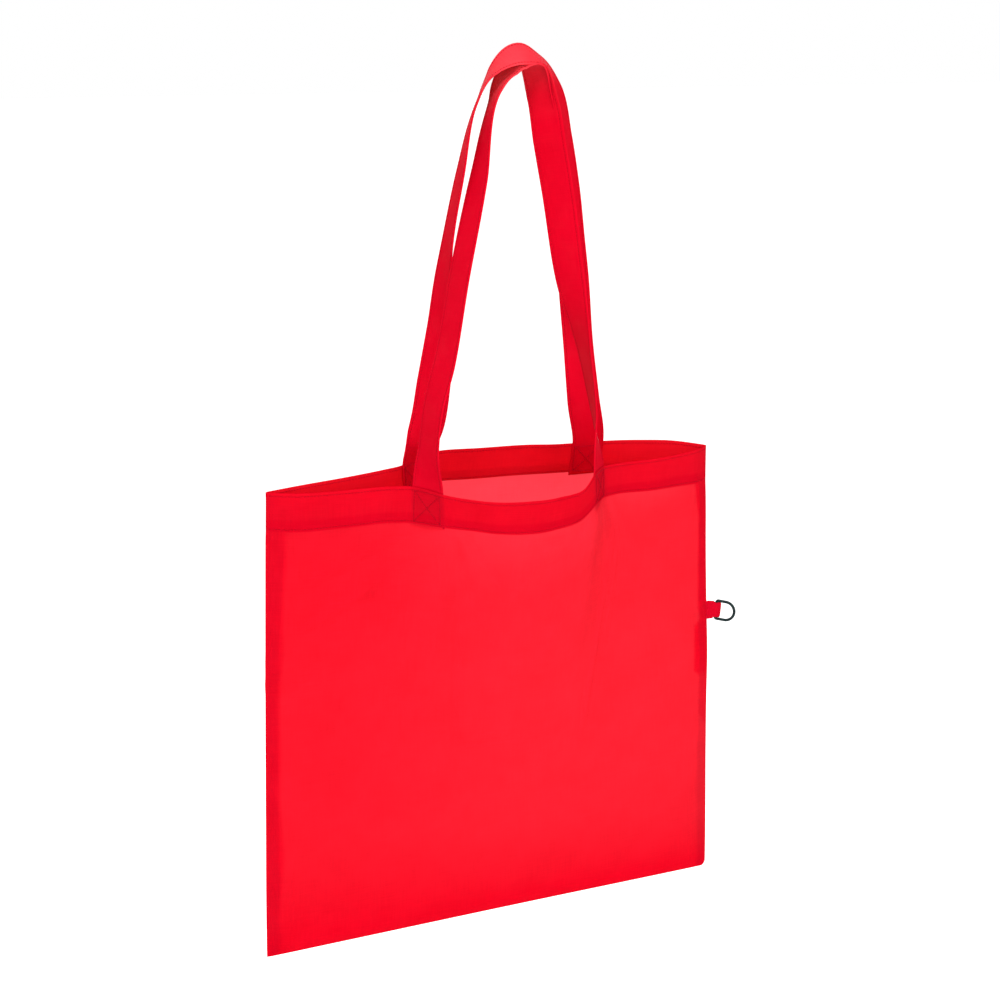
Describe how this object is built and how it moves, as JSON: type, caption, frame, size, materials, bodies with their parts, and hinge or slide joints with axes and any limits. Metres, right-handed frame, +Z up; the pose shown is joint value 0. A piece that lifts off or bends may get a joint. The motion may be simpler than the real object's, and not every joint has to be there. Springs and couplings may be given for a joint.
{
  "type": "foldable tote bag",
  "caption": "Thin woven cloth shopper with a stitched hem, two long shoulder handles sewn inside the rim, and a side tab with a dangling D-ring",
  "frame": {"origin": "on the axis of the rail or hook that both handles hang over, in the middle of the front handle's arc", "axes": "+X along the bag's width, towards the side with the tab and ring; +Y from the front panel to the back panel; +Z up"},
  "size_m": [0.4151, 0.1064, 0.702],
  "materials": {
    "cloth": "matte",
    "strap": "matte",
    "thread": "matte",
    "ring": "gloss"
  },
  "bodies": {
    "bag": {"front_panel": "cloth", "back_panel": "cloth", "front_hem": "cloth", "back_hem": "cloth", "side_tab": "cloth", "left_side_seam": "cloth", "right_side_seam": "cloth", "front_left_handle_end": "strap", "front_right_handle_end": "strap", "back_left_handle_end": "strap", "back_right_handle_end": "strap", "front_hem_stitching": "thread", "back_hem_stitching": "thread", "front_left_cross_stitching": "thread", "front_right_cross_stitching": "thread", "back_left_cross_stitching": "thread", "back_right_cross_stitching": "thread", "side_tab_stitching": "thread"},
    "bottom": {"bottom_quarter": "cloth", "left_side_seam_foot": "cloth", "right_side_seam_foot": "cloth"},
    "front_strap": {"front_handle": "strap", "front_handle_stitching": "thread"},
    "back_strap": {"back_handle": "strap", "back_handle_stitching": "thread"},
    "ring": {"d_ring": "ring"}
  },
  "joints": [
    {"name": "front_handle_swing", "type": "hinge", "parent": "bag", "child": "front_strap", "pos_m": [-0.01, -0.0312, -0.3], "axis": [1, 0, 0], "range_deg": [0, 176]},
    {"name": "back_handle_swing", "type": "hinge", "parent": "bag", "child": "back_strap", "pos_m": [-0.01, 0.05031, -0.3], "axis": [-1, 0, 0], "range_deg": [0, 176]},
    {"name": "bottom_fold", "type": "hinge", "parent": "bag", "child": "bottom", "pos_m": [-0.01, 0.00886, -0.585], "axis": [-1, 0, 0], "range_deg": [0, 170]},
    {"name": "ring_swing", "type": "hinge", "parent": "bag", "child": "ring", "pos_m": [0.19277, 0.014, -0.44481], "axis": [0.0924, 0, 0.9957], "range_deg": [-75, 165]}
  ]
}
